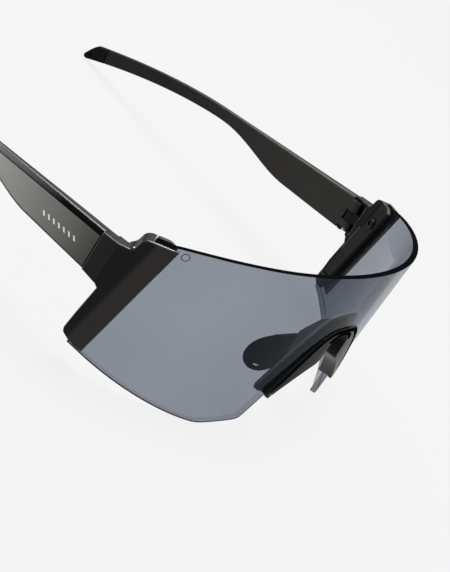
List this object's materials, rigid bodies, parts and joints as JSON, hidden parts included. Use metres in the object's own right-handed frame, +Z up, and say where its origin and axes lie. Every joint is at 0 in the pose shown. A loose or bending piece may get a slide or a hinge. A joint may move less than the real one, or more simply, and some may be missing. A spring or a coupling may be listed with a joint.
{
  "type": "glacier glasses",
  "caption": "Rimless shield sunglasses with a one-piece grey lens, wide dark front ends, rubber nose pads and folding temples.",
  "frame": {"origin": "bottom centre of the glasses as they rest on a table, on the lens's lower edge and the two temple tips", "axes": "+X to the wearer's left, +Y back along the temples, +Z up from the table"},
  "size_m": [0.134, 0.163, 0.0595],
  "materials": {
    "smoke_lens": "gloss grey polycarbonate",
    "satin_black": "satin moulded nylon",
    "gloss_black": "gloss black nylon",
    "satin_graphite": "satin graphite paint over nylon",
    "olive_plastic": "satin dark olive nylon",
    "soft_rubber": "soft matte rubber",
    "steel": "plain steel",
    "brass": "turned brass"
  },
  "bodies": {
    "front": {"lens": "smoke_lens", "nose_bridge": "satin_black", "endpiece_left": "gloss_black", "endpiece_right": "gloss_black", "lens_retainer_left": "olive_plastic", "lens_retainer_right": "olive_plastic", "retainer_screw_upper_left": "steel", "retainer_screw_lower_left": "steel", "retainer_screw_upper_right": "steel", "retainer_screw_lower_right": "steel"},
    "left_temple": {"temple_left": "satin_graphite", "temple_tip_left": "soft_rubber", "hinge_insert_left": "brass", "hinge_screw_left": "steel"},
    "right_temple": {"temple_right": "satin_graphite", "temple_tip_right": "soft_rubber", "hinge_insert_right": "brass", "hinge_screw_right": "steel"},
    "left_nose_pad": {"nose_pad_left": "soft_rubber", "nose_pad_core_left": "steel"},
    "right_nose_pad": {"nose_pad_right": "soft_rubber", "nose_pad_core_right": "steel"}
  },
  "joints": [
    {"name": "left_temple_fold", "type": "hinge", "parent": "front", "child": "left_temple", "pos_m": [0.0642, -0.03551, 0.0343], "axis": [0, 0.217, 0.9762], "range_deg": [0, 90]},
    {"name": "right_temple_fold", "type": "hinge", "parent": "front", "child": "right_temple", "pos_m": [-0.0642, -0.03551, 0.0343], "axis": [0, -0.217, -0.9762], "range_deg": [0, 84]},
    {"name": "left_pad_bend", "type": "hinge", "parent": "front", "child": "left_nose_pad", "pos_m": [0.0102, -0.07397, 0.02625], "axis": [-0.1961, 0.2128, 0.9572], "range_deg": [-5, 5]},
    {"name": "right_pad_bend", "type": "hinge", "parent": "front", "child": "right_nose_pad", "pos_m": [-0.0102, -0.07397, 0.02625], "axis": [0.1961, 0.2128, 0.9572], "range_deg": [-5, 5]}
  ]
}
